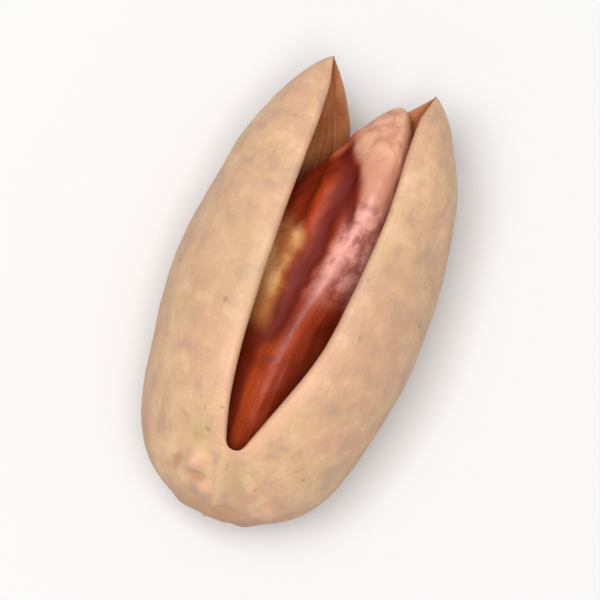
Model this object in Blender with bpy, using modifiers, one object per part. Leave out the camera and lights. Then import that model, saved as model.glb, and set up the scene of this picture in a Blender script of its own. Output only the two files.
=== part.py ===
"""Pistachio in shell: a woody shell, split open along its upper seam, with the kernel inside.

Metres, +Z up. The nut lies on the closed lower seam of the shell, with the split facing +Z.
The base, where the stalk was, points to -Y and the two open tips point to +Y.
The origin is on the surface the nut rests on, under the middle of its bounding box.
"""

import math

import bmesh
import bpy
import numpy as np
from mathutils import Matrix

MM = 0.001

# The shell, as if it were still closed.
LENGTH = 21.0 * MM
HALF_THICKNESS = 4.58 * MM
HALF_HEIGHT = 5.95 * MM
WIDEST_STATION = -0.23
THICKNESS_TO_BASE = (5.5, 0.75)
THICKNESS_TO_TIP = (3.0, 0.82)
HEIGHT_TO_BASE = (2.5, 0.50)
HEIGHT_TO_TIP = (2.2, 0.62)
TIP_RISE = 2.6 * MM
BASE_DROP = 0.5 * MM
RIGHT_VALVE_FULLER = 0.035

# The flat spot worn on the lower seam, which the nut rests on.
FLAT_DEPTH = 0.3 * MM

# The split: where it starts, its round end, and how far each valve stands from the seam plane.
SPLIT_START = 3.15 * MM
SPLIT_RADIUS = 0.5 * MM
SPLIT_SOFTENING = 0.5 * MM
SPLIT_BLEND = 3.0 * MM
TOP_GAP = 1.8 * MM
TOP_GAP_GROWTH = 4.4 * MM
TIP_FLARE = 0.12 * MM
TIP_FLARE_START = 0.85
OPENING = 2.2 * MM
OPENING_LENGTH = 0.50
LIP_CURL_ANGLE = 0.50
LIP_EDGE_ANGLE = 0.18
SPREAD_START = 0.60
SPREAD_POWER = 2.5
LOWER_SPLIT_START = 0.74
LOWER_GAP_POWER = 2.0
MOST_TURN = 0.25

# The wall, and how thin it gets at the lips and in the tips, as a share of its full thickness.
WALL = 1.0 * MM
LIP_SHARE = 0.65
LIP_BLEND_ANGLE = math.radians(32)
LIP_FULL_GAP = 0.5 * MM
TIP_WALL_LENGTH = 0.10
TIP_WALL_POWER = 0.8
LEAST_SHARE = 0.04

# The kernel, along its own axis.
KERNEL_BASE_Y = -8.5 * MM
KERNEL_TIP_Y = 9.5 * MM
KERNEL_HALF_WIDTH = 3.2 * MM
KERNEL_HALF_HEIGHT = 4.3 * MM
KERNEL_WIDEST_STATION = 0.05
KERNEL_TO_BASE = (3.2, 0.55)
KERNEL_TO_TIP = (1.6, 0.62)
KERNEL_MID_HEIGHT = 5.75 * MM
KERNEL_TIP_RISE = 1.7 * MM
KERNEL_BASE_RISE = 0.4 * MM
KERNEL_LEAN = 1.0 * MM
KERNEL_LEAN_START = 0.0
KERNEL_LEAN_LENGTH = 1.3
KERNEL_CREST_SKEW = 0.8 * MM
KERNEL_SKEW_START = -0.4
KERNEL_SKEW_LENGTH = 0.6
KERNEL_CREST_PINCH = 0.30

# Mesh fineness: segments round the long axis, and rings along it.
SHELL_SEGMENTS = 40
SHELL_RINGS = 28
KERNEL_SEGMENTS = 28
KERNEL_RINGS = 20
SHARP_ANGLE = math.radians(50)
NEARLY_ZERO = 1e-5

# Finish of each sub-part: linear colour, roughness.
SHELL_COLOUR = (0.70, 0.45, 0.27)
SHELL_ROUGHNESS = 0.55
KERNEL_COLOUR = (0.36, 0.06, 0.03)
KERNEL_ROUGHNESS = 0.38


def clear_scene():
    """Removes every object of the scene."""
    for existing in list(bpy.data.objects):
        bpy.data.objects.remove(existing, do_unlink=True)


def new_collection(name):
    """Adds a collection to the scene."""
    collection = bpy.data.collections.new(name)
    bpy.context.scene.collection.children.link(collection)
    return collection


def plain_material(name, colour, roughness):
    """A non-metallic Principled material."""
    material = bpy.data.materials.new(name)
    material.use_nodes = True
    principled = material.node_tree.nodes["Principled BSDF"]
    principled.inputs["Base Color"].default_value = (*colour, 1.0)
    principled.inputs["Roughness"].default_value = roughness
    principled.inputs["Metallic"].default_value = 0.0
    material.diffuse_color = (*colour, 1.0)
    return material


def smooth_ramp(share):
    """0 below 0, 1 above 1, and a smooth S between."""
    share = np.clip(share, 0.0, 1.0)
    return share * share * (3.0 - 2.0 * share)


def profile(station, widest, to_base, to_tip):
    """How full a long body is along its axis, 1 at its widest station and 0 at both ends.

    Either side of the widest station it is (1 - t^n)^p, where t runs from 0 there to 1 at the end,
    and (n, p) is that side's shape: n for its straightness, p for how blunt its end is.
    """
    base_share = np.clip((widest - station) / (1.0 + widest), 0.0, 1.0)
    tip_share = np.clip((station - widest) / (1.0 - widest), 0.0, 1.0)
    base_side = (1.0 - base_share ** to_base[0]) ** to_base[1]
    return base_side * (1.0 - tip_share ** to_tip[0]) ** to_tip[1]


def length_share(station):
    """0 at the base, 1 at the tips."""
    return (station + 1.0) / 2.0


def bell(distance, width):
    """A bump of height 1 that falls off as exp(-(distance / width)^2)."""
    return np.exp(-((distance / width) ** 2))


def tip_flare(station):
    """How far each tip bends outwards."""
    return TIP_FLARE * smooth_ramp((length_share(station) - TIP_FLARE_START) / (1.0 - TIP_FLARE_START))


def past_split_start(station):
    """Distance past the upper split's start, negative before it."""
    return length_share(station) * LENGTH - SPLIT_START


def gap_growth(distance):
    """How far the lips move apart over a distance: fast at first, then slower."""
    return TOP_GAP * (1.0 - np.exp(-distance / TOP_GAP_GROWTH))


def top_gap(station):
    """Distance from the seam plane to a valve's upper lip: the split's round end, and the growth past it."""
    distance = np.maximum(past_split_start(station), 0.0)
    share = np.minimum(distance / SPLIT_RADIUS, 1.0)
    round_end = SPLIT_RADIUS * np.sqrt(1.0 - (1.0 - share) ** 2)
    return round_end + gap_growth(distance) + tip_flare(station)


def body_gap(station):
    """The upper lip's distance with a soft start, which the wall below the lip follows."""
    distance = past_split_start(station)
    softened = SPLIT_SOFTENING * np.logaddexp(0.0, distance / SPLIT_SOFTENING)
    widened = SPLIT_RADIUS * smooth_ramp(distance / SPLIT_BLEND + 0.3)
    return widened + gap_growth(softened) + tip_flare(station)


def valve_opening(station):
    """How far the top of a valve has swung outwards: about as far as its lip, but with a slow start."""
    return OPENING * smooth_ramp(length_share(station) / OPENING_LENGTH) + tip_flare(station)


def past_share(station, start, power):
    """0 up to a share of the length, then a power of the way from there to the tips."""
    return np.clip((length_share(station) - start) / (1.0 - start), 0.0, 1.0) ** power


def tip_spread(station):
    """How much further the two valves stand apart towards their tips."""
    return top_gap(1.0) * past_share(station, SPREAD_START, SPREAD_POWER)


def lower_gap(station):
    """Distance from the seam plane to a valve's lower edge: that seam is open only towards the tips."""
    return top_gap(1.0) * past_share(station, LOWER_SPLIT_START, LOWER_GAP_POWER)


def middle_height(station):
    """Height of the body's middle line, which rises to the tips and drops a little at the base."""
    rise = np.where(station > 0.0, TIP_RISE, -BASE_DROP) * station**2
    return HALF_HEIGHT - FLAT_DEPTH + rise


def sphere_coordinates(points):
    """Station along Y (-1 to 1) and angle from +Z round Y, for points on a unit sphere."""
    station = np.clip(points[:, 1], -1.0, 1.0)
    angle = np.arctan2(points[:, 0], points[:, 2])
    return station, angle


def shell_points(points, side):
    """Shapes the points of a unit sphere into the opened shell.

    The closed nut has elliptical sections. Each half then moves outwards by the lower gap, turns
    about the lower seam until its top has swung out by the valve's opening, and curls back near
    its top, first to the body gap and at the very edge to the top gap. side is -1 on the left
    valve, 1 on the right one and 0 on the seams where they are still closed.
    """
    station, angle = sphere_coordinates(points)
    thickness = profile(station, WIDEST_STATION, THICKNESS_TO_BASE, THICKNESS_TO_TIP)
    half_thickness = HALF_THICKNESS * thickness * (1.0 + RIGHT_VALVE_FULLER * side)
    half_height = HALF_HEIGHT * profile(station, WIDEST_STATION, HEIGHT_TO_BASE, HEIGHT_TO_TIP)
    out = np.abs(half_thickness * np.sin(angle))
    up_share = (1.0 + np.cos(angle)) / 2.0
    up = 2.0 * half_height * up_share
    opening = valve_opening(station) + tip_spread(station) - lower_gap(station)
    turn = (opening - lower_gap(station)) / np.maximum(2.0 * half_height, NEARLY_ZERO)
    turn = np.clip(turn, -MOST_TURN, MOST_TURN)
    body = body_gap(station)
    curl = (body - opening) * bell(angle, LIP_CURL_ANGLE)
    curl = curl + (top_gap(station) - body) * bell(angle, LIP_EDGE_ANGLE)
    x = side * (out + lower_gap(station) + (opening - lower_gap(station)) * up_share + curl)
    z = middle_height(station) - half_height + up - out * turn
    y = station * LENGTH / 2.0
    return np.column_stack((x, y, np.maximum(z, 0.0)))


def wall_share(points):
    """The wall's thickness at each point, as a share of the full one: less at the lips and in the tips."""
    station, angle = sphere_coordinates(points)
    from_top = np.abs(angle)
    from_bottom = math.pi - from_top
    lip = np.maximum(
        smooth_ramp(1.0 - from_top / LIP_BLEND_ANGLE) * smooth_ramp(top_gap(station) / LIP_FULL_GAP),
        smooth_ramp(1.0 - from_bottom / LIP_BLEND_ANGLE) * smooth_ramp(lower_gap(station) / LIP_FULL_GAP),
    )
    towards_tip = np.clip((1.0 - station) / (2.0 * TIP_WALL_LENGTH), 0.0, 1.0) ** TIP_WALL_POWER
    return np.maximum((1.0 - (1.0 - LIP_SHARE) * lip) * towards_tip, LEAST_SHARE)


def kernel_points(points):
    """Shapes the points of a unit sphere into the kernel.

    Its sections are ellipses whose upper half is pinched to a crest, which stands to the right.
    Its middle line rises and leans to the right valve on the way to the tips.
    """
    station, angle = sphere_coordinates(points)
    full = profile(station, KERNEL_WIDEST_STATION, KERNEL_TO_BASE, KERNEL_TO_TIP)
    half_width = KERNEL_HALF_WIDTH * full
    half_height = KERNEL_HALF_HEIGHT * full
    crest = np.maximum(np.cos(angle), 0.0) ** 2
    lean = KERNEL_LEAN * smooth_ramp((station - KERNEL_LEAN_START) / KERNEL_LEAN_LENGTH)
    skew = KERNEL_CREST_SKEW * smooth_ramp((station - KERNEL_SKEW_START) / KERNEL_SKEW_LENGTH)
    x = half_width * np.sin(angle) * (1.0 - KERNEL_CREST_PINCH * crest) + lean + skew * full * crest
    rise = KERNEL_TIP_RISE * smooth_ramp(station) + KERNEL_BASE_RISE * smooth_ramp(-station)
    z = KERNEL_MID_HEIGHT + rise + half_height * np.cos(angle)
    middle_y = (KERNEL_BASE_Y + KERNEL_TIP_Y) / 2.0
    y = middle_y + station * (KERNEL_TIP_Y - KERNEL_BASE_Y) / 2.0
    return np.column_stack((x, y, z))


def unit_sphere(segments, rings):
    """A unit sphere whose poles lie on Y, with one meridian at the top and one at the bottom."""
    mesh = bmesh.new()
    turned = Matrix.Rotation(math.pi / 2.0, 4, "X")
    bmesh.ops.create_uvsphere(mesh, u_segments=segments, v_segments=rings, radius=1.0, matrix=turned)
    return mesh


def open_seams(mesh):
    """Splits the sphere's upper and lower meridian where the shell's seam has opened."""
    opened = []
    for edge in mesh.edges:
        middle = (edge.verts[0].co + edge.verts[1].co) / 2.0
        if max(abs(vertex.co.x) for vertex in edge.verts) > NEARLY_ZERO:
            continue
        gap = top_gap(middle.y) if middle.z > 0.0 else lower_gap(middle.y)
        if gap > 0.0:
            opened.append(edge)
    bmesh.ops.split_edges(mesh, edges=opened)


def valve_sides(mesh):
    """For each vertex, -1 on the left valve, 1 on the right one and 0 where both meet."""
    sides = []
    for vertex in mesh.verts:
        across = sum(face.calc_center_median().x for face in vertex.link_faces)
        sides.append(0.0 if abs(across) < NEARLY_ZERO else math.copysign(1.0, across))
    return np.array(sides)


def add_object(name, mesh, points, material, collection):
    """Makes an object of a bmesh, with its vertices at the given points."""
    data = bpy.data.meshes.new(name)
    mesh.to_mesh(data)
    mesh.free()
    data.vertices.foreach_set("co", points.astype(np.float32).ravel())
    data.materials.append(material)
    data.update()
    made = bpy.data.objects.new(name, data)
    collection.objects.link(made)
    return made


def vertex_points(mesh):
    """The vertices of a bmesh, as an array."""
    return np.array([tuple(vertex.co) for vertex in mesh.verts])


def make_shell(collection):
    """Both valves as one piece: they have grown together at the base and along the lower seam."""
    mesh = unit_sphere(SHELL_SEGMENTS, SHELL_RINGS)
    open_seams(mesh)
    sphere = vertex_points(mesh)
    points = shell_points(sphere, valve_sides(mesh))
    points[:, 0] -= (points[:, 0].min() + points[:, 0].max()) / 2.0
    material = plain_material("shell_wood", SHELL_COLOUR, SHELL_ROUGHNESS)
    shell = add_object("shell", mesh, points, material, collection)
    wall = shell.vertex_groups.new(name="wall")
    for index, share in enumerate(wall_share(sphere)):
        wall.add([index], float(share), "REPLACE")
    solidify = shell.modifiers.new("wall", "SOLIDIFY")
    solidify.thickness = WALL
    solidify.offset = -1.0
    solidify.vertex_group = wall.name
    shell.data.shade_smooth()
    shell.data.set_sharp_from_angle(angle=SHARP_ANGLE)


def make_kernel(collection):
    """The seed in its thin skin, lying loose in the shell."""
    mesh = unit_sphere(KERNEL_SEGMENTS, KERNEL_RINGS)
    points = kernel_points(vertex_points(mesh))
    material = plain_material("kernel_skin", KERNEL_COLOUR, KERNEL_ROUGHNESS)
    kernel = add_object("kernel", mesh, points, material, collection)
    kernel.data.shade_smooth()


def main():
    """Builds the nut."""
    clear_scene()
    nut = new_collection("pistachio_in_shell")
    make_shell(nut)
    make_kernel(nut)


main()
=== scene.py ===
"""Pistachio in shell: the fine surface and finish of a split nut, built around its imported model.

Metres, +Z up. The nut lies on its closed lower seam with the split facing +Z, its base to -Y and its
two open tips to +Y. Along the nut, station runs from -1 at the base to 1 at the tips. Round it, the
angle is 0 at the top seam and pi at the lower one, on each valve by itself.
"""

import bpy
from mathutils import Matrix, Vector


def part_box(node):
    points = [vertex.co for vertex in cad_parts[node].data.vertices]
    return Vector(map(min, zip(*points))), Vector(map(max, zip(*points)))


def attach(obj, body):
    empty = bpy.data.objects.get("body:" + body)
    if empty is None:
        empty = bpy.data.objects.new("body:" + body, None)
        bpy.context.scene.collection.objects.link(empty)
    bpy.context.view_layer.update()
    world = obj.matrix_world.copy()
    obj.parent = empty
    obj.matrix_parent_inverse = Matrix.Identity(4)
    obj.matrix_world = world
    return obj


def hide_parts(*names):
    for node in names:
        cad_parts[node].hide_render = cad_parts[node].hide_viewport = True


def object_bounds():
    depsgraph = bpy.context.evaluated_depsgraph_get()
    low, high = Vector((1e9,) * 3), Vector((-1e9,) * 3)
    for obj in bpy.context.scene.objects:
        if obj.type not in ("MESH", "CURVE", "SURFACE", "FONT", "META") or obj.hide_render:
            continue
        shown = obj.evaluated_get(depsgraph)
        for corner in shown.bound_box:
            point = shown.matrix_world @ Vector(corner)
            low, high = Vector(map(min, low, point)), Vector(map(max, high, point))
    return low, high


bl_info = {
    "name": "Pistachio in Shell",
    "version": (1, 0, 0),
    "blender": (4, 5, 0),
    "location": "3D View > Sidebar > Pistachio",
    "description": "Builds a split pistachio: its woody shell, its kernel and a plain studio stage",
    "category": "Add Mesh",
}

import math
from collections import namedtuple

import bmesh
import bpy
import numpy as np
from bpy.props import FloatProperty, FloatVectorProperty, PointerProperty
from mathutils import Matrix, Vector

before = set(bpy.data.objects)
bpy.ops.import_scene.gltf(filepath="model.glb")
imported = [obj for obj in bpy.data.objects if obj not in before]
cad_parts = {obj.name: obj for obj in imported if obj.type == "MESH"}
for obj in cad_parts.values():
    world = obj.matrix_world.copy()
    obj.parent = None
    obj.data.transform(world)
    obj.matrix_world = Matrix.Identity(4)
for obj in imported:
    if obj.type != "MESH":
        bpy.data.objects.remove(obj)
cad_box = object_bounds()

MM = 0.001
SHELL_LOW, SHELL_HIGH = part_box("shell")

# The shell's outline, as if it were still closed: (straightness, bluntness) towards each end.
WIDEST_STATION = -0.23
THICKNESS_TO_BASE = (5.5, 0.75)
THICKNESS_TO_TIP = (3.0, 0.82)
HEIGHT_TO_BASE = (2.5, 0.50)
HEIGHT_TO_TIP = (2.2, 0.62)
TIP_RISE = 2.6 * MM
BASE_DROP = 0.5 * MM
RIGHT_VALVE_FULLER = 0.035
FLAT_DEPTH = 0.3 * MM

# How the valves open along the nut.
TOP_GAP_GROWTH = 4.4 * MM
SPLIT_SOFTENING = 0.5 * MM
SPLIT_BLEND = 3.0 * MM
TIP_FLARE_START = 0.85
OPENING_LENGTH = 0.50
LIP_CURL_ANGLE = 0.50
LIP_EDGE_ANGLE = 0.18
SPREAD_START = 0.60
SPREAD_POWER = 2.5
LOWER_SPLIT_START = 0.74
LOWER_GAP_POWER = 2.0
MOST_TURN = 0.25

# How far the upper seam drifts sideways and the right lip bows out, and the stretch and angle of each.
SEAM_DRIFT = -0.2 * MM
SEAM_DRIFT_STATIONS = 0.6
SEAM_DRIFT_ANGLE = 0.8
LIP_BOW = 0.40 * MM
LIP_BOW_START_LENGTH = 6.0 * MM
LIP_BOW_TIP_STATIONS = 0.6
LIP_BOW_ANGLE = 0.6

# The wall's thickness, as shares of the full one, and its rounded lip.
LIP_SHARE = 0.65
LIP_BLEND_ANGLE = math.radians(32)
LIP_FULL_GAP = 0.5 * MM
LIP_BLEND_LENGTH = 1.2 * MM
TIP_WALL_SHARE = 0.5
LIP_BULGE = 0.34
LIP_BULGE_GAP_SHARE = 0.3
LIP_ROUNDNESS = 0.6
END_NORMAL_Y = 0.15
END_NORMAL_LENGTH = 1.3 * MM
END_NORMAL_ANGLE = 0.35

# Places on the shell in millimetres: the top of its lower side, the foot of its upper side, the old
# stalk's scar, the base, and the end of the split.
LOWER_SIDE_Z = 3.0
UPPER_SIDE_Z = 5.0
STALK_Z = 5.1
BASE_Y = -9.9
SPLIT_END_Y = -7.35

# Lumps and hollows round the scar, in millimetres, each with how strongly it is coloured: pinkish on a lump,
# painted shade in a hollow.
Lump = namedtuple("Lump", "x y half_width half_length height tint")
BASE_LUMPS = (
    Lump(-1.40, -8.20, 0.44, 0.40, 0.42, 1.0),
    Lump(-1.20, -8.85, 0.50, 0.24, -0.26, 1.0),
    Lump(-2.25, -8.45, 0.24, 0.45, -0.12, 1.0),
    Lump(-0.62, -9.25, 0.40, 0.34, 0.24, 1.0),
    Lump(0.30, -9.55, 0.50, 0.26, 0.12, 0.0),
    Lump(1.34, -8.55, 0.34, 0.28, 0.12, 0.8),
    Lump(-1.80, -7.20, 0.40, 0.32, -0.10, 0.6),
    Lump(2.30, -9.25, 0.34, 0.26, 0.20, 1.0),
)

# The kernel's outline, and how its crest is pinched and stands to one side.
KERNEL_BASE_Y = -8.5 * MM
KERNEL_TIP_Y = 9.5 * MM
KERNEL_WIDEST_STATION = 0.05
KERNEL_TO_BASE = (3.2, 0.55)
KERNEL_HEIGHT_TO_TIP = (1.6, 0.62)
KERNEL_WIDTH_TO_TIP = (1.35, 0.60)
KERNEL_TIP_TAPER = 0.14
KERNEL_TAPER_START = 0.3
KERNEL_TAPER_LENGTH = 0.6
KERNEL_TIP_RISE = 1.7 * MM
KERNEL_BASE_RISE = 0.4 * MM
KERNEL_MID_HEIGHT = 5.75 * MM
KERNEL_LEAN_LENGTH = 1.3
LEFT_PINCH = 0.40
RIGHT_PINCH = 0.24
CREST_SKEW = 1.1 * MM
CREST_SKEW_START = -0.4
CREST_SKEW_LENGTH = 0.9

# Layers of noise, each with its height and cell size in millimetres and its seed.
SHELL_DENTS = ((0.080, 3.3, 11), (0.040, 1.4, 12), (0.012, 0.5, 16))
WALL_WRINKLES = ((0.050, 1.9, 21),)
KERNEL_DENTS = ((0.090, 2.2, 41), (0.050, 0.9, 45))
KERNEL_GRAIN = ((0.020, 0.4, 44),)
EDGE_WANDER = ((0.160, 1.2, 31), (0.080, 0.45, 32))

# Fineness of the meshes.
SHELL_ROWS = 224
SHELL_COLUMNS = 104
LIP_STEPS = 9
KERNEL_ROWS = 200
KERNEL_COLUMNS = 200
MERGE_DISTANCE = 2e-7
TANGENT_STEP = 1e-4
LATTICE = 48

# The stage.
FLOOR_HALF_WIDTH = 2.0
KEY_SIZE = (0.16, 0.22)
KEY_DISTANCE = 0.45
KEY_BEARING = math.radians(150.0)
KEY_LIFT = math.radians(86.0)
SENSOR_WIDTH = 36.0


# --------------------------------------------------------------------------------------------------
# Shapes as functions of station and angle
# --------------------------------------------------------------------------------------------------


def smooth_ramp(share):
    """0 below 0, 1 above 1, and the S-curve 3t^2 - 2t^3 between."""
    share = np.clip(share, 0.0, 1.0)
    return share * share * (3.0 - 2.0 * share)


def bell(distance, width):
    """A bump of height 1 that falls off as exp(-(distance / width)^2)."""
    return np.exp(-((distance / width) ** 2))


def span(value, low, high, soft):
    """1 between low and high, with soft ends."""
    return smooth_ramp((value - low) / soft + 0.5) * smooth_ramp((high - value) / soft + 0.5)


def end_fade(station):
    """1 half way along and 0 at both ends: sqrt(1 - t^2)."""
    return np.sqrt(np.maximum(1.0 - station**2, 0.0))


def in_mm(points):
    """The points' x, y and z in millimetres."""
    return tuple(points[..., axis] / MM for axis in range(3))


def profile(station, widest, to_base, to_tip):
    """How full a long body is along its axis: (1 - t^n)^p either side of its widest station."""
    base_share = np.clip((widest - station) / (1.0 + widest), 0.0, 1.0)
    tip_share = np.clip((station - widest) / (1.0 - widest), 0.0, 1.0)
    base_side = (1.0 - base_share ** to_base[0]) ** to_base[1]
    return base_side * (1.0 - tip_share ** to_tip[0]) ** to_tip[1]


def lattice_noise(points, cell, seed):
    """A smooth random field from -1 to 1: random values on a cubic lattice, blended by S-curves."""
    values = np.random.default_rng(seed).uniform(-1.0, 1.0, (LATTICE,) * 3)
    scaled = points / cell
    corner = np.floor(scaled).astype(int)
    share = smooth_ramp(scaled - corner)
    total = np.zeros(points.shape[:-1])
    for offset in np.ndindex(2, 2, 2):
        index = (corner + offset) % LATTICE
        weight = np.where(offset, share, 1.0 - share).prod(axis=-1)
        total += weight * values[index[..., 0], index[..., 1], index[..., 2]]
    return total


def layered_noise(points, layers):
    """The sum of noise layers, each (height, cell size in millimetres, seed)."""
    return sum(height * lattice_noise(points, cell * MM, seed) for height, cell, seed in layers)


def length_share(station):
    """0 at the base, 1 at the tips."""
    return (station + 1.0) / 2.0


def tip_flare(station, nut):
    """How far each tip bends outwards."""
    return nut.tip_flare * smooth_ramp((length_share(station) - TIP_FLARE_START) / (1.0 - TIP_FLARE_START))


def past_split_start(station, nut):
    """Distance past the upper split's start, negative before it."""
    return length_share(station) * nut.length - nut.split_start


def gap_growth(distance, nut):
    """How far the lips move apart over a distance: G (1 - exp(-d / growth))."""
    return nut.top_gap * (1.0 - np.exp(-distance / TOP_GAP_GROWTH))


def top_gap(station, nut):
    """Distance from the seam plane to the upper lip: a round end to the split, and the growth past it."""
    distance = np.maximum(past_split_start(station, nut), 0.0)
    share = np.minimum(distance / nut.split_radius, 1.0)
    round_end = nut.split_radius * np.sqrt(1.0 - (1.0 - share) ** 2)
    return round_end + gap_growth(distance, nut) + tip_flare(station, nut)


def body_gap(station, nut):
    """The upper lip's distance with a soft start, for the wall further down."""
    distance = past_split_start(station, nut)
    softened = SPLIT_SOFTENING * np.logaddexp(0.0, distance / SPLIT_SOFTENING)
    widened = nut.split_radius * smooth_ramp(distance / SPLIT_BLEND + 0.3)
    return widened + gap_growth(softened, nut) + tip_flare(station, nut)


def valve_opening(station, nut):
    """How far a valve's top has swung outwards: about as far as its lip, but starting slowly at the base."""
    return nut.opening * smooth_ramp(length_share(station) / OPENING_LENGTH) + tip_flare(station, nut)


def past_share(station, start, power):
    """0 up to a share of the length, then a power of the way from there to the tips."""
    return np.clip((length_share(station) - start) / (1.0 - start), 0.0, 1.0) ** power


def tip_spread(station, nut):
    """How much further the two valves stand apart towards their tips."""
    return top_gap(1.0, nut) * past_share(station, SPREAD_START, SPREAD_POWER)


def lower_gap(station, nut):
    """Distance from the seam plane to the lower edge."""
    return top_gap(1.0, nut) * past_share(station, LOWER_SPLIT_START, LOWER_GAP_POWER)


def seam_drift(station, angle):
    """How far the upper seam wanders to the left of the middle towards the base."""
    drift = smooth_ramp(-station / SEAM_DRIFT_STATIONS) * end_fade(station)
    return SEAM_DRIFT * drift * bell(angle, SEAM_DRIFT_ANGLE)


def lip_bow(station, angle, side, nut):
    """How far the right valve's upper lip bows outwards between the split's start and the tip."""
    past_start = smooth_ramp(past_split_start(station, nut) / LIP_BOW_START_LENGTH)
    before_tip = smooth_ramp((1.0 - station) / LIP_BOW_TIP_STATIONS)
    return max(side, 0) * LIP_BOW * past_start * before_tip * bell(angle, LIP_BOW_ANGLE)


def shift_sideways(points, station, angle, side, nut):
    """Moves a valve's points by the upper seam's drift and the right lip's bow."""
    points[..., 0] += seam_drift(station, angle) + lip_bow(station, angle, side, nut)


def half_thickness(station, side, nut):
    """Half the closed nut's thickness, a little more on the right valve."""
    full = profile(station, WIDEST_STATION, THICKNESS_TO_BASE, THICKNESS_TO_TIP)
    return nut.half_thickness * full * (1.0 + RIGHT_VALVE_FULLER * side)


def valve_form(station, angle, side, nut):
    """One valve's smooth outer form.

    The closed section is half an ellipse. It moves outwards by the lower gap, turns about the lower
    seam until its top has swung out by the valve's opening and its tip's spread, and curls back near
    its top, first to the body gap and at the very edge to the top gap. side is -1 for the left valve
    and 1 for the right one.
    """
    half_height = nut.half_height * profile(station, WIDEST_STATION, HEIGHT_TO_BASE, HEIGHT_TO_TIP)
    out = half_thickness(station, side, nut) * np.sin(angle)
    up_share = (1.0 + np.cos(angle)) / 2.0
    low = lower_gap(station, nut)
    opening = valve_opening(station, nut) + tip_spread(station, nut) - low
    turn = np.clip((opening - low) / np.maximum(2.0 * half_height, 1e-9), -MOST_TURN, MOST_TURN)
    body = body_gap(station, nut)
    curl = (body - opening) * bell(angle, LIP_CURL_ANGLE)
    curl = curl + (top_gap(station, nut) - body) * bell(angle, LIP_EDGE_ANGLE)
    x = side * (out + low + (opening - low) * up_share + curl)
    y = station * nut.length / 2.0
    rise = np.where(station > 0.0, TIP_RISE, -BASE_DROP) * station**2
    z = nut.half_height - FLAT_DEPTH + rise - half_height + 2.0 * half_height * up_share - out * turn
    return np.stack(np.broadcast_arrays(x, y, z), axis=-1)


def unit(vectors):
    """The vectors at length 1."""
    return vectors / np.maximum(np.linalg.norm(vectors, axis=-1, keepdims=True), 1e-12)


def form_normals(form, station, angle, margin):
    """Outward normals of a form, the cross product of small steps round it and along it.

    The steps keep a margin from both ends, where the form has no direction along it.
    """
    inside = np.clip(station, -1.0 + margin, 1.0 - margin)
    along = form(inside + TANGENT_STEP, angle) - form(inside - TANGENT_STEP, angle)
    around = form(inside, angle + TANGENT_STEP) - form(inside, angle - TANGENT_STEP)
    return unit(np.cross(around, along))


def valve_normals(station, angle, side, nut):
    """Outward normals of a valve's form.

    Where a seam is closed its normal lies in the seam plane, so that both valves share it. Round the
    upper split's end they lean a little to the tips, so that the inner edge stays under the outer one.
    """
    def form(stations, angles):
        return valve_form(stations, angles, side, nut)

    normals = side * form_normals(form, station, angle, 2.0 * TANGENT_STEP)
    at_end = bell(past_split_start(station, nut), END_NORMAL_LENGTH) * bell(angle, END_NORMAL_ANGLE)
    normals[..., 1] += (END_NORMAL_Y - normals[..., 1]) * at_end
    normals[:, 0, 0] *= smooth_ramp(top_gap(station[:, 0], nut) / LIP_FULL_GAP)
    normals[:, -1, 0] *= smooth_ramp(lower_gap(station[:, 0], nut) / LIP_FULL_GAP)
    return unit(normals)


def lip_nearness(station, angle, nut):
    """1 on an open lip, falling to 0 a blend angle away from it and before each split's start."""
    at_top = smooth_ramp(1.0 - angle / LIP_BLEND_ANGLE)
    at_top = at_top * smooth_ramp(1.0 + past_split_start(station, nut) / LIP_BLEND_LENGTH)
    at_bottom = smooth_ramp(1.0 - (math.pi - angle) / LIP_BLEND_ANGLE)
    past_lower = (length_share(station) - LOWER_SPLIT_START) * nut.length
    at_bottom = at_bottom * smooth_ramp(1.0 + past_lower / LIP_BLEND_LENGTH)
    return np.maximum(at_top, at_bottom)


def wall_thickness(station, angle, side, nut):
    """The wall: its full thickness, thinner at the lips, and at most a share of a tip's half thickness."""
    wall = nut.wall * (1.0 - (1.0 - LIP_SHARE) * lip_nearness(station, angle, nut))
    in_tip = TIP_WALL_SHARE * half_thickness(station, side, nut)
    return np.where(station > 0.0, np.minimum(wall, in_tip), wall)


def flow_coordinates(station, angle, across, along):
    """Coordinates that follow the nut: (across cos a, across sin a, along s), so marks run lengthwise."""
    ring = [across * np.cos(angle), across * np.sin(angle), along * station]
    return np.stack(np.broadcast_arrays(*ring), axis=-1)


def upper_side(z):
    """1 on the shell's upper side and 0 below it, for a height in millimetres."""
    return smooth_ramp((z - UPPER_SIDE_Z) / 1.5)


def base_ridge_distance(x, y):
    """How far a point, in millimetres, is from the slightly bent ridge that crosses the base."""
    return x + 0.38 - 0.40 * smooth_ramp((-7.5 - y) / 2.2)


def lump_shape(x, y, lump, width):
    """A bump over a lump of the base, seen from above: exp(-(r / width)^2), with r = 1 at the lump's edge."""
    return bell(np.hypot((x - lump.x) / lump.half_width, (y - lump.y) / lump.half_length), width)


def lump_marks(x, y, raised):
    """Where the raised lumps of the base are coloured pinkish, or else where its hollows carry painted shade:
    their strongest bump.
    """
    lumps = [lump for lump in BASE_LUMPS if (lump.height > 0.0) == raised]
    return np.maximum.reduce([lump.tint * lump_shape(x, y, lump, 1.1) for lump in lumps])


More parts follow.
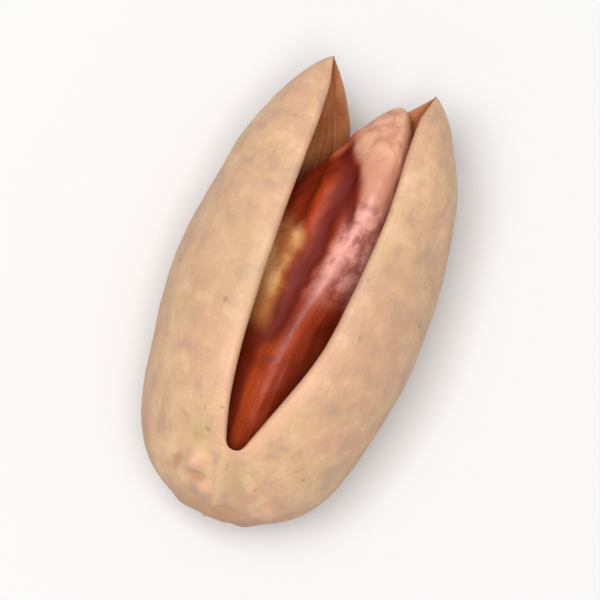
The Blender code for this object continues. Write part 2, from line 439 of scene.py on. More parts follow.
def shell_relief(points, station, angle):
    """How far the shell's skin stands out from its smooth form.

    The sum of dents of three sizes, ribs and hairs that run lengthwise, the ridge of the upper base
    and the hollow facet beside it, the closed lower seam, the ragged ring and the scar of the old
    stalk, and the lumps round them.
    """
    x, y, z = in_mm(points)
    ends = end_fade(station)
    on_top = upper_side(z)
    relief = layered_noise(points, SHELL_DENTS)
    relief += 0.022 * ends * lattice_noise(flow_coordinates(station, angle, 5.0, 1.0), 0.62, 13)
    relief += 0.004 * ends * lattice_noise(flow_coordinates(station, angle, 5.0, 2.6), 0.27, 14)
    across = base_ridge_distance(x, y)
    ridge = 0.20 * bell(across, 0.20) - 0.14 * bell(across - 0.65, 0.45)
    relief += ridge * span(y, BASE_Y, SPLIT_END_Y, 0.5) * on_top
    relief += 0.09 * bell(x, 0.30) * (z < LOWER_SIDE_Z) * ends
    from_stalk = np.hypot(x, z - STALK_Z)
    ragged = 1.0 + 1.3 * lattice_noise(flow_coordinates(station, angle, 2.0, 0.0), 0.55, 15)
    relief += 0.07 * ragged * bell(from_stalk - 1.5, 0.45) * (y < 0.0)
    scar = bell(from_stalk, 0.8) + bell(x, 0.22) * bell(z - STALK_Z, 0.6)
    relief -= 0.06 * scar * (y < -8.0)
    for lump in BASE_LUMPS:
        relief += lump.height * lump_shape(x, y, lump, 1.0) * on_top
    return relief * MM


# --------------------------------------------------------------------------------------------------
# Meshes from grids
# --------------------------------------------------------------------------------------------------


def grid_quads(rows, columns, first, flip):
    """The quads of a grid of points, numbered row by row from first."""
    corner = first + np.arange(rows - 1)[:, None] * columns + np.arange(columns - 1)[None, :]
    quads = np.stack((corner, corner + 1, corner + columns + 1, corner + columns), axis=-1).reshape(-1, 4)
    return quads[:, ::-1] if flip else quads


def welded_object(name, grids, material):
    """One closed object from (points, masks, flip) grids, whose shared edges and poles are merged.

    masks holds a number or a vector for each point, by name, which the material reads.
    """
    quads = []
    first = 0
    for points, _, flip in grids:
        quads.append(grid_quads(points.shape[0], points.shape[1], first, flip))
        first += points.shape[0] * points.shape[1]
    quads = np.concatenate(quads)
    points = np.concatenate([grid[0].reshape(-1, 3) for grid in grids])
    data = bpy.data.meshes.new(name)
    data.vertices.add(len(points))
    data.vertices.foreach_set("co", points.astype(np.float32).ravel())
    data.loops.add(quads.size)
    data.loops.foreach_set("vertex_index", quads.astype(np.int32).ravel())
    data.polygons.add(len(quads))
    data.polygons.foreach_set("loop_start", np.arange(0, quads.size, 4, dtype=np.int32))
    data.update(calc_edges=True)
    for mask in grids[0][1]:
        add_mask(data, mask, [grid[1][mask] for grid in grids])
    merged = bmesh.new()
    merged.from_mesh(data)
    bmesh.ops.remove_doubles(merged, verts=merged.verts, dist=MERGE_DISTANCE)
    merged.to_mesh(data)
    merged.free()
    data.shade_smooth()
    data.materials.append(material)
    made = bpy.data.objects.new(name, data)
    bpy.context.scene.collection.objects.link(made)
    return made


def add_mask(data, name, values):
    """Stores numbers or vectors on the vertices, for the material to read by name."""
    is_vector = values[0].ndim == 3
    stored = data.attributes.new(name, "FLOAT_VECTOR" if is_vector else "FLOAT", "POINT")
    flat = np.concatenate([part.ravel() for part in values]).astype(np.float32)
    stored.data.foreach_set("vector" if is_vector else "value", flat)


# --------------------------------------------------------------------------------------------------
# The shell
# --------------------------------------------------------------------------------------------------


def shell_rows(nut):
    """Stations of the shell's rings, closer at both ends and round the upper split's start.

    Their spacing is 1 over a density, which grows as 1 / sqrt(distance) to each end. One ring lies on
    the start of each split.
    """
    station = np.linspace(-1.0, 1.0, 4001)
    upper = 2.0 * nut.split_start / nut.length - 1.0
    lower = 2.0 * LOWER_SPLIT_START - 1.0
    density = 1.0 + 0.35 / np.sqrt(1.001 + station) + 0.25 / np.sqrt(1.01 - station)
    density += 3.0 * bell(station - upper - 0.02, 0.05)
    total = np.cumsum(density)
    rows = np.interp(np.linspace(total[0], total[-1], SHELL_ROWS), total, station)
    first_upper = int(np.abs(rows - upper).argmin())
    first_lower = int(np.abs(rows - lower).argmin())
    rows[first_upper] = upper
    rows[first_lower] = lower
    return rows, first_upper, first_lower


def shell_masks(points, station, angle, inside, nut):
    """Where the shell's marks are, for its material, each from 0 to 1.

    inside is 1 on the inner wall, lip is the edge of the split and rim its rounded end. ridge, facet,
    pink and crease are on the upper side of the base; facet marks painted shade beside the ridge and
    crease painted shade in the hollows. seam is the closed lower seam. end, middle and flank are the
    base end, the middle of the length and the sides; end and flank mark painted shade there. moss is
    a spot beside the split's end. flow is the vector of coordinates that follow the nut.
    """
    x, y, z = in_mm(points)
    on_top = upper_side(z)
    at_base = span(y, BASE_Y, SPLIT_END_Y + 0.05, 0.5) * on_top
    across = base_ridge_distance(x, y)
    near_lip = smooth_ramp(lip_nearness(station, np.abs(angle), nut) * 4.0 - 3.0)
    masks = {
        "inside": inside,
        "lip": near_lip * (0.45 + 0.55 * smooth_ramp(-y / 4.0)),
        "ridge": at_base * bell(across, 0.22),
        "facet": at_base * bell(across - 0.75, 0.50) * smooth_ramp((y + 9.6) / 0.8),
        "pink": on_top * lump_marks(x, y, raised=True),
        "hollow_shade": on_top * lump_marks(x, y, raised=False),
        "rim": on_top * bell(x, 0.9) * bell(y - SPLIT_END_Y, 0.28),
        "seam": 0.6 * (z < LOWER_SIDE_Z) * bell(x, 0.35),
        "end": smooth_ramp((-9.0 - y) / 1.5),
        "middle": bell(y - 0.5, 4.5),
        "side_shade": smooth_ramp((np.abs(angle) - 0.8) / 0.9),
        "moss": on_top * bell(np.hypot((x + 1.85) / 0.5, (y + 6.9) / 0.7), 1.0),
    }
    masks = {name: np.broadcast_to(values, points.shape[:-1]) for name, values in masks.items()}
    masks["flow"] = np.broadcast_to(flow_coordinates(station, angle, 5.0, 1.0), points.shape)
    return masks


def valve_grids(side, nut):
    """The outer skin, inner wall and lip of one valve, as grids that share their edges.

    The outer skin is the valve's form plus its relief along the normals, cut flat where the nut rests.
    The inner wall lies the wall's thickness and some wrinkles under the form. At the base each of them
    closes in one point, and at the tip both close in the same one.
    """
    rows, first_upper, first_lower = shell_rows(nut)
    station = rows[:, None]
    angle = np.linspace(0.0, math.pi, SHELL_COLUMNS)[None, :]
    form = valve_form(station, angle, side, nut)
    normals = valve_normals(station, angle, side, nut)
    signed = side * angle
    outer = form + normals * shell_relief(form, station, signed)[..., None]
    wall = wall_thickness(station, angle, side, nut)
    wrinkles = MM * layered_noise(form, WALL_WRINKLES) * smooth_ramp(wall / nut.wall)
    inner = form - normals * (wall + wrinkles)[..., None]
    outer[..., 2] = np.maximum(outer[..., 2], 0.0)
    outer[0] = outer[0].mean(axis=0) * (0.0, 1.0, 1.0)
    inner[0] = outer[0] + (0.0, nut.wall, 0.0)
    outer[-1] = outer[-1].mean(axis=0)
    inner[-1] = outer[-1]
    lip, lip_station, lip_angle, depth = lip_grid(outer, inner, rows, first_upper, first_lower, side, nut)
    shift_sideways(outer, station, angle, side, nut)
    shift_sideways(inner, station, angle, side, nut)
    shift_sideways(lip, lip_station, lip_angle, side, nut)
    left = side < 0
    return [
        (outer, shell_masks(outer, station, signed, np.zeros(1), nut), left),
        (inner, shell_masks(inner, station, signed, np.ones(1), nut), not left),
        (lip, shell_masks(lip, lip_station, side * lip_angle, depth, nut), not left),
    ]


def lip_grid(outer, inner, rows, first_upper, first_lower, side, nut):
    """The rounded edge of a valve, from the upper split's start round the tip to the lower one's start.

    Across the wall it is a straight step from the outer to the inner edge, plus a bulge of
    sin(pi s)^roundness towards the seam plane.
    """
    last = len(rows) - 1
    upper = np.arange(first_upper, last + 1)
    lower = np.arange(last - 1, first_lower - 1, -1)
    row = np.concatenate((upper, lower))
    column = np.concatenate((np.zeros(len(upper), int), np.full(len(lower), -1)))
    gap = np.where(column == 0, top_gap(rows[row], nut), lower_gap(rows[row], nut))
    start = outer[row, column]
    step = inner[row, column] - start
    width = np.linalg.norm(step, axis=-1)
    towards = np.array((-side, 0.0, 0.0)) - unit(step) * (-side * unit(step)[:, :1])
    bulge = np.minimum(LIP_BULGE * width, LIP_BULGE_GAP_SHARE * gap)
    depth = np.linspace(0.0, 1.0, LIP_STEPS)
    round_edge = np.sin(math.pi * depth) ** LIP_ROUNDNESS
    points = start[:, None] + step[:, None] * depth[:, None]
    points = points + unit(towards)[:, None] * (bulge[:, None] * round_edge)[..., None]
    angle = np.where(column == 0, 0.0, math.pi)[:, None]
    return points, rows[row][:, None], angle, np.broadcast_to(depth, points.shape[:-1])


# --------------------------------------------------------------------------------------------------
# The kernel
# --------------------------------------------------------------------------------------------------


def crest_skew(station):
    """How far the kernel's crest stands to the right of its middle line, at full size."""
    return CREST_SKEW * smooth_ramp((station - CREST_SKEW_START) / CREST_SKEW_LENGTH)


def kernel_form(station, angle, kernel):
    """The kernel's smooth form: ellipses pinched to a crest above, which leans right towards the tips."""
    full = profile(station, KERNEL_WIDEST_STATION, KERNEL_TO_BASE, KERNEL_HEIGHT_TO_TIP)
    width = profile(station, KERNEL_WIDEST_STATION, KERNEL_TO_BASE, KERNEL_WIDTH_TO_TIP)
    crest = np.maximum(np.cos(angle), 0.0) ** 2
    pinch = RIGHT_PINCH + (LEFT_PINCH - RIGHT_PINCH) * smooth_ramp(0.5 - 2.0 * np.sin(angle))
    lean = kernel.lean * smooth_ramp(station / KERNEL_LEAN_LENGTH)
    taper = 1.0 - KERNEL_TIP_TAPER * smooth_ramp((station - KERNEL_TAPER_START) / KERNEL_TAPER_LENGTH)
    x = kernel.half_width * width * taper * np.sin(angle) * (1.0 - pinch * crest)
    x = x + lean + crest_skew(station) * full * crest
    z = KERNEL_MID_HEIGHT + KERNEL_TIP_RISE * smooth_ramp(station) + KERNEL_BASE_RISE * smooth_ramp(-station)
    z = z + kernel.half_height * full * np.cos(angle)
    middle = (KERNEL_BASE_Y + KERNEL_TIP_Y) / 2.0
    y = middle + station * (KERNEL_TIP_Y - KERNEL_BASE_Y) / 2.0
    return np.stack(np.broadcast_arrays(x, y, z), axis=-1)


def crest_line(y):
    """Where the crest runs, seen from above, in millimetres."""
    return -0.15 + 1.45 * np.clip((y + 7.0) / 11.2, 0.0, 1.1) ** 1.6


def kernel_zones(points):
    """Where the seed's upper skin changes, as seen from above, in millimetres.

    pale is the bare tip end above a slanting edge. Under that edge lie a band of painted shade and a
    raised ridge with a painted glint. A dark hollow follows the crest on its left, its purplish red
    partly the skin's own colour and partly painted shade, with an orange ridge beyond; mauve and a
    painted highlight along the crest lie right of it. edge is painted shade along both sides of the
    lower half. Ochre is a lens beside the left lip. A zone is the product of a bell or a ramp across
    it and a span along it, and noise makes every edge wander.
    """
    x, y, z = in_mm(points)
    above = smooth_ramp((z - 6.5) / 1.5)
    wander = layered_noise(points, EDGE_WANDER)
    crest_x = crest_line(y)
    on_crest = bell(x + 0.3 * wander - crest_x, 0.20)
    x = x + wander
    from_crest = x - crest_x
    from_cleft = from_crest + 0.85 + 0.14 * np.maximum(y, 0.0)
    past_edge = y - 6.8 + 1.8 * x
    from_glint = x + 0.85 - 0.58 * (y - 6.9)
    zones = {
        "pale": smooth_ramp(past_edge / 1.1 + 0.5) * smooth_ramp((y - 4.3) / 1.4),
        "maroon_shade": bell(past_edge + 1.15, 0.85) * smooth_ramp((1.3 - x) / 0.7) * smooth_ramp((x + 1.3) / 0.6),
        "glint": bell(from_glint, 0.24) * span(y, 6.3, 7.8, 0.8),
        "ridge": bell(x + 0.85, 0.30) * span(y, 2.9, 5.4, 1.0),
        "cleft": bell(from_cleft, 0.38) * span(y, -2.2, 6.0, 1.8),
        "groove": bell(x + 1.45, 0.26) * span(y, 2.9, 6.2, 1.2),
        "mauve": smooth_ramp((from_crest + 0.95) / 0.80) * span(y, 0.9, 7.0, 2.6),
        "blush": smooth_ramp((7.9 - y) / 1.8),
        "crest": on_crest * span(y, -6.4, 4.4, 1.6) * (0.35 + 0.65 * bell(y - 2.3, 1.6)),
        "edge": smooth_ramp((np.abs(from_crest + 0.18) - 0.55) / 0.50) * smooth_ramp((1.2 - y) / 2.2),
        "ochre": smooth_ramp((-0.95 - x) / 0.55 + 0.5) * span(y, -1.6, 3.1, 1.1),
        "low": smooth_ramp((0.8 - y) / 2.2),
    }
    return {name: above * values for name, values in zones.items()}


def kernel_relief(points, station, angle, zones):
    """How far the seed's skin stands out from its smooth form.

    The sum of soft lumps of two sizes, wrinkles that run lengthwise, a grain where the skin is mauve or
    bare, and the heights and depths of the zones.
    """
    wrinkles = np.abs(lattice_noise(flow_coordinates(station, angle, 3.5, 2.2), 0.55, 42))
    relief = layered_noise(points, KERNEL_DENTS) - 0.028 * wrinkles * end_fade(station)
    relief += layered_noise(points, KERNEL_GRAIN) * (0.4 + zones["mauve"] + zones["pale"])
    relief += 0.14 * zones["pale"] + 0.05 * zones["crest"] + 0.16 * zones["ridge"] + 0.16 * zones["glint"]
    relief -= 0.20 * zones["cleft"] + 0.12 * zones["maroon_shade"] + 0.14 * zones["groove"]
    return relief * MM


def kernel_grid(kernel):
    """The kernel as one grid: its form plus its relief along the normals, closed at both ends."""
    station = -np.cos(np.linspace(0.0, math.pi, KERNEL_ROWS))[:, None]
    angle = np.linspace(-math.pi, math.pi, KERNEL_COLUMNS)[None, :]

    def form(stations, angles):
        return kernel_form(stations, angles, kernel)

    points = form(station, angle)
    zones = kernel_zones(points)
    relief = kernel_relief(points, station, angle, zones)
    points = points + form_normals(form, station, angle, TANGENT_STEP) * relief[..., None]
    points[0] = points[0].mean(axis=0)
    points[-1] = points[-1].mean(axis=0)
    zones["flow"] = flow_coordinates(station, angle, 3.5, 1.0)
    return points, zones, False


# --------------------------------------------------------------------------------------------------
# Materials
# --------------------------------------------------------------------------------------------------


class Finish:
    """A procedural material under construction, with noise scales in cells per metre of the object."""

    def __init__(self, name):
        self.material = bpy.data.materials.new(name)
        self.material.use_nodes = True
        self.tree = self.material.node_tree
        self.shader = self.tree.nodes["Principled BSDF"]
        self.place = self.tree.nodes.new("ShaderNodeTexCoord").outputs["Object"]

    def put(self, value, socket):
        """Links an output to a socket, or sets the socket to a number or a colour."""
        if isinstance(value, bpy.types.NodeSocket):
            self.tree.links.new(value, socket)
        elif isinstance(value, (int, float)):
            socket.default_value = value
        else:
            socket.default_value = (*value, 1.0)[: len(socket.default_value)]

    def mask(self, name):
        """A number stored on the mesh."""
        node = self.tree.nodes.new("ShaderNodeAttribute")
        node.attribute_name = name
        return node.outputs["Fac"]

    def vector(self, name):
        """A vector stored on the mesh."""
        node = self.tree.nodes.new("ShaderNodeAttribute")
        node.attribute_name = name
        return node.outputs["Vector"]

    def noise(self, vector, scale, detail=3.0, roughness=0.55):
        """Cloudy noise, about 0.5 on average."""
        node = self.tree.nodes.new("ShaderNodeTexNoise")
        self.put(vector, node.inputs["Vector"])
        node.inputs["Scale"].default_value = scale
        node.inputs["Detail"].default_value = detail
        node.inputs["Roughness"].default_value = roughness
        return node.outputs["Fac"]

    def dots(self, vector, scale, size):
        """Scattered round dots: 1 inside them and 0 outside."""
        node = self.tree.nodes.new("ShaderNodeTexVoronoi")
        self.put(vector, node.inputs["Vector"])
        node.inputs["Scale"].default_value = scale
        node.inputs["Randomness"].default_value = 1.0
        return self.ramp(node.outputs["Distance"], size, size * 0.45)

    def ramp(self, value, low, high, to_low=0.0, to_high=1.0):
        """Takes low to high, smoothly and clamped, onto to_low to to_high."""
        node = self.tree.nodes.new("ShaderNodeMapRange")
        node.interpolation_type = "SMOOTHSTEP"
        self.put(value, node.inputs["Value"])
        node.inputs["From Min"].default_value = low
        node.inputs["From Max"].default_value = high
        node.inputs["To Min"].default_value = to_low
        node.inputs["To Max"].default_value = to_high
        return node.outputs["Result"]

    def math(self, operation, first, second):
        """One arithmetic step."""
        node = self.tree.nodes.new("ShaderNodeMath")
        node.operation = operation
        self.put(first, node.inputs[0])
        self.put(second, node.inputs[1])
        return node.outputs["Value"]

    def mix(self, share, first, second):
        """first, with that share of second laid over it."""
        node = self.tree.nodes.new("ShaderNodeMix")
        node.data_type = "RGBA"
        self.put(share, node.inputs["Factor"])
        self.put(first, node.inputs[6])
        self.put(second, node.inputs[7])
        return node.outputs[2]

    def cover(self, colour, share, low, high, most, over):
        """Lays one colour over another: none of it where share is low, and most of it where share is high."""
        return self.mix(self.ramp(share, low, high, 0.0, most), colour, over)

    def cover_mask(self, colour, name, low, high, most, over):
        """Lays one colour over another by a number stored on the mesh."""
        return self.cover(colour, self.mask(name), low, high, most, over)

    def tint(self, colour, share, most, over):
        """Lays one colour over another, in step with share."""
        return self.mix(self.math("MULTIPLY", share, most), colour, over)

    def bump(self, height, distance, normal=None):
        """A bump from a height between 0 and 1, distance metres high, on top of another one."""
        node = self.tree.nodes.new("ShaderNodeBump")
        node.inputs["Distance"].default_value = distance
        self.put(height, node.inputs["Height"])
        if normal is not None:
            self.put(normal, node.inputs["Normal"])
        return node.outputs["Normal"]

    def roughen(self, scale, smoothest, roughest, extra=0.0):
        """Lets the roughness vary with a noise, and adds some more to it."""
        rough = self.ramp(self.noise(self.place, scale), 0.3, 0.7, smoothest, roughest)
        self.put(self.math("ADD", rough, extra), self.shader.inputs["Roughness"])


def shell_finish(looks):
    """Woody shell: mottled ivory with faint streaks and dark flecks, pale lips, a brown inner wall, and
    painted shade on the sides and base.
    """
    finish = Finish("shell_wood")
    place, flow = finish.place, finish.vector("flow")
    mottle = finish.noise(place, 900.0, 4.0, 0.60)
    colour = finish.cover(looks.ivory, finish.noise(place, 240.0), 0.42, 0.58, 1.0, looks.pink)
    colour = finish.cover(colour, finish.noise(place, 300.0), 0.54, 0.72, 0.80, looks.olive)
    colour = finish.cover(colour, mottle, 0.50, 0.66, 0.75, looks.grey)
    colour = finish.cover(colour, mottle, 0.48, 0.34, 0.70, looks.cream)
    # Painted shade: the sides are darkened towards a warmer tan.
    colour = finish.tint(colour, finish.mask("side_shade"), 0.80, looks.side_shade)
    colour = finish.tint(colour, finish.mask("moss"), 0.55, looks.moss)
    colour = finish.tint(colour, finish.mask("middle"), 0.35, looks.dull)
    colour = finish.cover(colour, finish.noise(flow, 3.2, 4.0, 0.65), 0.54, 0.76, 0.30, looks.streak)
    some = finish.ramp(finish.noise(place, 600.0, 2.0), 0.54, 0.62)
    flecks = finish.math("MULTIPLY", finish.dots(place, 900.0, 0.15), some)
    colour = finish.tint(colour, flecks, 0.35, looks.fleck)
    # Painted shade: the facet beside the base's ridge is darker and greyer.
    colour = finish.cover_mask(colour, "facet", 0.2, 1.0, 0.55, looks.facet)
    colour = finish.cover_mask(colour, "seam", 0.3, 1.0, 0.50, looks.streak)
    colour = finish.cover_mask(colour, "ridge", 0.2, 1.0, 0.65, looks.cream)
    colour = finish.cover_mask(colour, "pink", 0.1, 0.9, 0.70, looks.lump)
    # Painted shade in the hollows of the base, in the base end's darker colour.
    colour = finish.cover_mask(colour, "hollow_shade", 0.2, 1.0, 0.55, looks.end)
    rim = finish.math("MAXIMUM", finish.mask("lip"), finish.mask("rim"))
    colour = finish.cover(colour, rim, 0.40, 1.0, 0.60, looks.lip)
    # Painted shade: the base end is darkened.
    colour = finish.tint(colour, finish.mask("end"), 0.60, looks.end)
    inner = finish.cover(looks.inner, finish.noise(flow, 5.0, 4.0), 0.35, 0.70, 1.0, looks.inner_dark)
    colour = finish.cover_mask(colour, "inside", 0.30, 0.72, 1.0, inner)
    finish.put(colour, finish.shader.inputs["Base Color"])
    finish.roughen(700.0, looks.roughness - 0.07, looks.roughness + 0.08)
    normal = finish.bump(finish.noise(place, 2600.0, 4.0, 0.7), 0.032 * MM)
    normal = finish.bump(mottle, 0.045 * MM, normal)
    normal = finish.bump(finish.noise(flow, 9.0, 4.0, 0.6), 0.010 * MM, normal)
    normal = finish.bump(finish.math("MULTIPLY", flecks, -1.0), 0.04 * MM, normal)
    finish.put(normal, finish.shader.inputs["Normal"])
    return finish.material


def kernel_finish(looks):
    """Seed skin: satin mahogany, mauve along the crest, bare and pale at the tip end, ochre at the left, with
    painted highlights and painted shade.
    """
    finish = Finish("kernel_skin")
    place, flow = finish.place, finish.vector("flow")
    blotches = finish.noise(place, 620.0, 4.0)
    colour = finish.cover(looks.mahogany, finish.noise(flow, 1.3), 0.36, 0.66, 1.0, looks.russet)
    colour = finish.cover(colour, blotches, 0.50, 0.70, 0.55, looks.dark)
    # Rose speckles over the mauve skin, partly its lighter skin and partly painted highlight.
    mauve = finish.cover(looks.mauve, finish.noise(place, 1300.0, 4.0, 0.65), 0.36, 0.64, 1.0, looks.rose)
    colour = finish.mix(finish.mask("mauve"), colour, mauve)
    # Painted shade: both sides of the kernel's lower half are darkened.
    colour = finish.tint(colour, finish.mask("edge"), 0.75, looks.dark)
    # The hollow along the crest: its dark purplish red is partly the skin's own colour and partly painted
    # shade.
    colour = finish.cover_mask(colour, "cleft", 0.05, 0.9, 0.90, looks.purple)
    # Painted highlight: a light line along the crest, pink above and orange near the base.
    streak = finish.mix(finish.mask("low"), looks.crest_highlight, looks.orange)
    colour = finish.cover_mask(colour, "crest", 0.0, 1.0, 0.80, streak)
    # Painted shade: a dark purplish band under the pale end's raised edge.
    colour = finish.cover_mask(colour, "maroon_shade", 0.1, 0.9, 0.90, looks.purple)
    ochre = finish.cover(looks.ochre, blotches, 0.35, 0.62, 1.0, looks.ochre_dark)
    ochre = finish.mix(finish.mask("low"), ochre, looks.ochre_dark)
    colour = finish.mix(finish.mask("ochre"), colour, ochre)
    colour = finish.cover_mask(colour, "groove", 0.1, 1.0, 0.80, looks.mahogany)
    colour = finish.cover_mask(colour, "ridge", 0.1, 1.0, 0.90, looks.orange)
    pale = finish.tint(looks.pale, finish.mask("blush"), 0.75, looks.pink)
    pale = finish.cover(pale, finish.noise(place, 1300.0), 0.40, 0.66, 1.0, looks.pale_dark)
    colour = finish.mix(finish.mask("pale"), colour, pale)
    # Painted highlight: a bright glint on the raised ridge under the pale end.
    colour = finish.cover_mask(colour, "glint", 0.1, 1.0, 0.85, looks.glint)
    finish.put(colour, finish.shader.inputs["Base Color"])
    dull_hollow = finish.math("MULTIPLY", finish.mask("cleft"), 0.3)
    finish.roughen(900.0, looks.roughness - 0.07, looks.roughness + 0.10, dull_hollow)
    finish.shader.inputs["Specular IOR Level"].default_value = 0.30
    normal = finish.bump(finish.noise(flow, 3.0), 0.012 * MM)
    normal = finish.bump(finish.noise(place, 2200.0), 0.03 * MM, normal)
    finish.put(normal, finish.shader.inputs["Normal"])
    return finish.material


def floor_finish(stage):
    """A plain pale matt floor."""
    finish = Finish("pale_floor")
    finish.put(stage.floor_colour, finish.shader.inputs["Base Color"])
    finish.shader.inputs["Roughness"].default_value = 0.9
    finish.shader.inputs["Specular IOR Level"].default_value = 0.1
    return finish.material


# --------------------------------------------------------------------------------------------------
# Properties
# --------------------------------------------------------------------------------------------------


def length_property(name, description, default):
    """A length in metres."""
    return FloatProperty(
        name=name, description=description, default=default, min=0.0, unit="LENGTH", precision=5
    )


def roughness_property(default):
    """A material's mean roughness."""
    return FloatProperty(
        name="Roughness", description="Mean roughness", default=default, min=0.0, max=1.0, subtype="FACTOR"
    )


def colour_property(name, description, default):
    """A linear colour."""
    return FloatVectorProperty(
        name=name, description=description, default=default, size=3, min=0.0, max=1.0, subtype="COLOR"
    )


class PistachioNutSizes(bpy.types.PropertyGroup):
    """Sizes of the shell."""

    length: length_property("Length", "From the base to the tips", SHELL_HIGH.y - SHELL_LOW.y)
    half_thickness: length_property("Half thickness", "Half the closed nut's width", 4.58 * MM)
    half_height: length_property("Half height", "Half the closed nut's height", 5.95 * MM)
    split_start: length_property("Split start", "From the base to the start of the split", 3.35 * MM)
    split_radius: length_property("Split radius", "Radius of the round end of the split", 0.5 * MM)
    top_gap: length_property("Lip distance", "How much further the lips stand from the seam plane", 1.84 * MM)
    opening: length_property("Opening", "How far the top of each valve has swung outwards", 2.2 * MM)
    tip_flare: length_property("Tip flare", "How far each tip bends outwards", 0.12 * MM)
    wall: length_property("Wall", "Thickness of the shell", 1.0 * MM)


class PistachioKernelSizes(bpy.types.PropertyGroup):
    """Sizes of the kernel."""

    half_width: length_property("Half width", "Half the kernel's width", 3.2 * MM)
    half_height: length_property("Half height", "Half the kernel's height", 4.3 * MM)
    lean: length_property("Lean", "How far the tip end leans to the right valve", 1.25 * MM)


class PistachioShellLooks(bpy.types.PropertyGroup):
    """Colours of the shell."""

    ivory: colour_property("Ivory", "Main colour", (0.71, 0.440, 0.245))
    pink: colour_property("Pink", "Pinkish mottling", (0.69, 0.385, 0.238))
    olive: colour_property("Olive", "Greenish mottling", (0.61, 0.405, 0.205))
    grey: colour_property("Grey", "Greyish pink mottling", (0.53, 0.335, 0.222))
    dull: colour_property("Dull", "Duller tone half way along", (0.58, 0.355, 0.215))
    cream: colour_property("Cream", "Lighter mottling", (0.80, 0.530, 0.300))
    streak: colour_property("Streak", "Lengthwise streaks", (0.48, 0.270, 0.140))
    fleck: colour_property("Fleck", "Small dark flecks", (0.27, 0.150, 0.095))
    # Painted shade of the sides, darker and warmer tan.
    side_shade: colour_property("Flank", "Warmer tan of the sides", (0.53, 0.235, 0.098))
    moss: colour_property("Moss", "Yellow-green spot beside the split's end", (0.55, 0.430, 0.160))
    # Painted shade on the facet beside the ridge of the base.
    facet: colour_property("Facet", "Dull facet beside the ridge of the base", (0.50, 0.345, 0.185))
    lump: colour_property("Lump", "Pinkish lumps of the base", (0.80, 0.430, 0.290))
    # Painted shade of the base end, also laid into the hollows of the base.
    end: colour_property("End", "Darker base end", (0.44, 0.195, 0.075))
    lip: colour_property("Lip", "Pale edge of the split", (0.80, 0.440, 0.275))
    inner: colour_property("Inner wall", "Inner wall of the shell", (0.66, 0.275, 0.110))
    inner_dark: colour_property("Inner wall, dark", "Darker parts of the inner wall", (0.48, 0.125, 0.034))
    roughness: roughness_property(0.56)


class PistachioKernelLooks(bpy.types.PropertyGroup):
    """Colours of the kernel."""

    mahogany: colour_property("Mahogany", "Main colour of the skin", (0.25, 0.026, 0.006))
    russet: colour_property("Russet", "Lighter veins", (0.42, 0.058, 0.012))
    # Orange also paints the highlight along the crest near the base.
    orange: colour_property("Orange", "Ridges, and the crest near the base", (0.42, 0.048, 0.009))
    # Painted highlight on the raised ridge under the pale end.
    glint: colour_property("Spark", "Bright ridge under the pale end", (0.72, 0.190, 0.090))
    # Dark is the skin's blotches and also the painted shade along the kernel's lower sides.
    dark: colour_property("Dark", "Dark red of edges and blotches", (0.12, 0.011, 0.003))
    # Purple paints the shade under the pale end, and in part the hollow along the crest.
    purple: colour_property("Purple", "Dark purplish red of the hollow", (0.16, 0.015, 0.010))
    mauve: colour_property("Mauve", "Mauve skin along the crest", (0.40, 0.125, 0.100))
    # Lighter pink speckles, partly painted highlight.
    rose: colour_property("Rose", "Lighter speckles of the mauve skin", (0.78, 0.370, 0.300))
    # Painted highlight along the crest.
    crest_highlight: colour_property("Sheen", "Light line along the crest", (0.78, 0.330, 0.260))
    ochre: colour_property("Ochre", "Seed where the skin has rubbed off", (0.95, 0.570, 0.240))
    ochre_dark: colour_property("Ochre, dark", "Darker parts of the ochre", (0.56, 0.200, 0.060))
    pale: colour_property("Pale", "Tip end", (0.84, 0.460, 0.290))
    pink: colour_property("Pink", "Lower part of the tip end", (0.57, 0.230, 0.160))
    pale_dark: colour_property("Pale, dark", "Speckles of the tip end", (0.64, 0.280, 0.180))
    roughness: roughness_property(0.42)


class PistachioStageSettings(bpy.types.PropertyGroup):
    """The floor, the lights and the camera."""

    floor_colour: colour_property("Floor", "Colour of the floor", (0.80, 0.80, 0.80))
    key_power: FloatProperty(
        name="Key light", description="Power of the key light in watts", default=1.75, min=0.0, unit="POWER"
    )
    sky: FloatProperty(name="Sky", description="Strength of the even light all round", default=0.38, min=0.0)
    camera_height: length_property("Camera height", "From the floor to the camera", 0.36)
    view_width: length_property("View width", "Width of the view on the nut", 26.5 * MM)
    turn: FloatProperty(
        name="Turn",
        description="How far the tips lean to the right in the view",
        default=math.radians(21.7),
        subtype="ANGLE",
    )


class PistachioSettings(bpy.types.PropertyGroup):
    """Everything that can be set on the nut and its stage."""

    nut: PointerProperty(type=PistachioNutSizes)
    kernel: PointerProperty(type=PistachioKernelSizes)
    shell_looks: PointerProperty(type=PistachioShellLooks)
    kernel_looks: PointerProperty(type=PistachioKernelLooks)
    stage: PointerProperty(type=PistachioStageSettings)


# --------------------------------------------------------------------------------------------------
# Operators
# --------------------------------------------------------------------------------------------------


def centring(nut):
    """The step in x that puts the shell's outline midway between its two sides."""
    station = np.linspace(-1.0, 1.0, 401)[:, None]
    angle = np.linspace(0.0, math.pi, 201)[None, :]
    x = [valve_form(station, angle, side, nut)[..., 0] for side in (-1, 1)]
    return -(np.min(x) + np.max(x)) / 2.0


class PISTACHIO_OT_shell(bpy.types.Operator):
    """Adds the fine shell, with both valves as one piece."""

    bl_idname = "pistachio.shell"
    bl_label = "Shell"

    def execute(self, context):
        settings = context.scene.pistachio
        grids = valve_grids(-1, settings.nut) + valve_grids(1, settings.nut)
        shell = welded_object("shell_skin", grids, shell_finish(settings.shell_looks))
        shell.data.transform(Matrix.Translation((centring(settings.nut), 0.0, 0.0)))
        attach(shell, "root")
        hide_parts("shell")
        return {"FINISHED"}


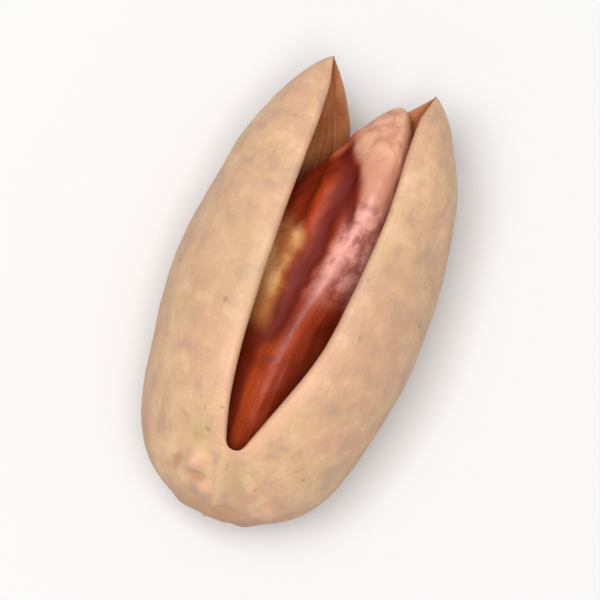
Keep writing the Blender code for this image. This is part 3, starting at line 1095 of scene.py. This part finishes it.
class PISTACHIO_OT_kernel(bpy.types.Operator):
    """Adds the fine kernel, lying in the shell."""

    bl_idname = "pistachio.kernel"
    bl_label = "Kernel"

    def execute(self, context):
        settings = context.scene.pistachio
        grids = [kernel_grid(settings.kernel)]
        kernel = welded_object("kernel_seed", grids, kernel_finish(settings.kernel_looks))
        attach(kernel, "root")
        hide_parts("kernel")
        return {"FINISHED"}


class PISTACHIO_OT_stage(bpy.types.Operator):
    """Adds the pale floor, the soft lights and the camera that looks straight down."""

    bl_idname = "pistachio.stage"
    bl_label = "Stage"

    def execute(self, context):
        stage = context.scene.pistachio.stage
        add_floor(stage)
        add_lights(context.scene, stage)
        add_camera(context.scene, stage)
        return {"FINISHED"}


def add_floor(stage):
    """A large flat floor at the height the nut rests on."""
    floor_mesh = bmesh.new()
    bmesh.ops.create_grid(floor_mesh, x_segments=1, y_segments=1, size=FLOOR_HALF_WIDTH)
    data = bpy.data.meshes.new("floor")
    floor_mesh.to_mesh(data)
    floor_mesh.free()
    data.materials.append(floor_finish(stage))
    floor = bpy.data.objects.new("floor", data)
    bpy.context.scene.collection.objects.link(floor)


def add_lights(scene, stage):
    """An even sky and one broad soft light almost overhead."""
    world = bpy.data.worlds.new("studio")
    world.use_nodes = True
    background = world.node_tree.nodes["Background"]
    background.inputs["Color"].default_value = (1.0, 1.0, 1.0, 1.0)
    background.inputs["Strength"].default_value = stage.sky
    scene.world = world
    lamp = bpy.data.lights.new("key", "AREA")
    lamp.shape = "RECTANGLE"
    lamp.size, lamp.size_y = KEY_SIZE
    lamp.energy = stage.key_power
    key = bpy.data.objects.new("key", lamp)
    scene.collection.objects.link(key)
    bearing = stage.turn + KEY_BEARING
    level = Vector((math.cos(bearing), math.sin(bearing), 0.0))
    away = level * math.cos(KEY_LIFT) + Vector((0.0, 0.0, math.sin(KEY_LIFT)))
    key.location = away * KEY_DISTANCE
    key.rotation_euler = away.to_track_quat("Z", "Y").to_euler()
    key.visible_camera = False


def add_camera(scene, stage):
    """A long lens straight above the nut, turned so that the tips lean to the right."""
    low, high = cad_box
    lens = bpy.data.cameras.new("camera")
    lens.sensor_width = SENSOR_WIDTH
    lens.lens = lens.sensor_width * (stage.camera_height - high.z / 2.0) / stage.view_width
    lens.clip_start = 0.01
    camera = bpy.data.objects.new("camera", lens)
    camera.location = ((low.x + high.x) / 2.0, (low.y + high.y) / 2.0, stage.camera_height)
    camera.rotation_euler = (0.0, 0.0, stage.turn)
    scene.collection.objects.link(camera)
    scene.camera = camera
    scene.view_settings.view_transform = "Standard"


class VIEW3D_PT_pistachio(bpy.types.Panel):
    """Lists the nut's settings and the steps that build it."""

    bl_idname = "VIEW3D_PT_pistachio"
    bl_label = "Pistachio"
    bl_space_type = "VIEW_3D"
    bl_region_type = "UI"
    bl_category = "Pistachio"

    def draw(self, context):
        settings = context.scene.pistachio
        groups = (
            (settings.nut, PISTACHIO_OT_shell),
            (settings.shell_looks, None),
            (settings.kernel, PISTACHIO_OT_kernel),
            (settings.kernel_looks, None),
            (settings.stage, PISTACHIO_OT_stage),
        )
        for group, operator in groups:
            box = self.layout.box()
            for name in group.__annotations__:
                box.prop(group, name)
            if operator:
                box.operator(operator.bl_idname)


CLASSES = (
    PistachioNutSizes,
    PistachioKernelSizes,
    PistachioShellLooks,
    PistachioKernelLooks,
    PistachioStageSettings,
    PistachioSettings,
    PISTACHIO_OT_shell,
    PISTACHIO_OT_kernel,
    PISTACHIO_OT_stage,
    VIEW3D_PT_pistachio,
)


def register():
    """Registers the classes and puts the settings on the scene."""
    for each in CLASSES:
        bpy.utils.register_class(each)
    bpy.types.Scene.pistachio = PointerProperty(type=PistachioSettings)


def unregister():
    """Undoes register."""
    del bpy.types.Scene.pistachio
    for each in reversed(CLASSES):
        bpy.utils.unregister_class(each)


def main():
    """Builds the stage and the nut."""
    register()
    bpy.ops.pistachio.stage()
    bpy.ops.pistachio.shell()
    bpy.ops.pistachio.kernel()


if __name__ == "__main__":
    main()
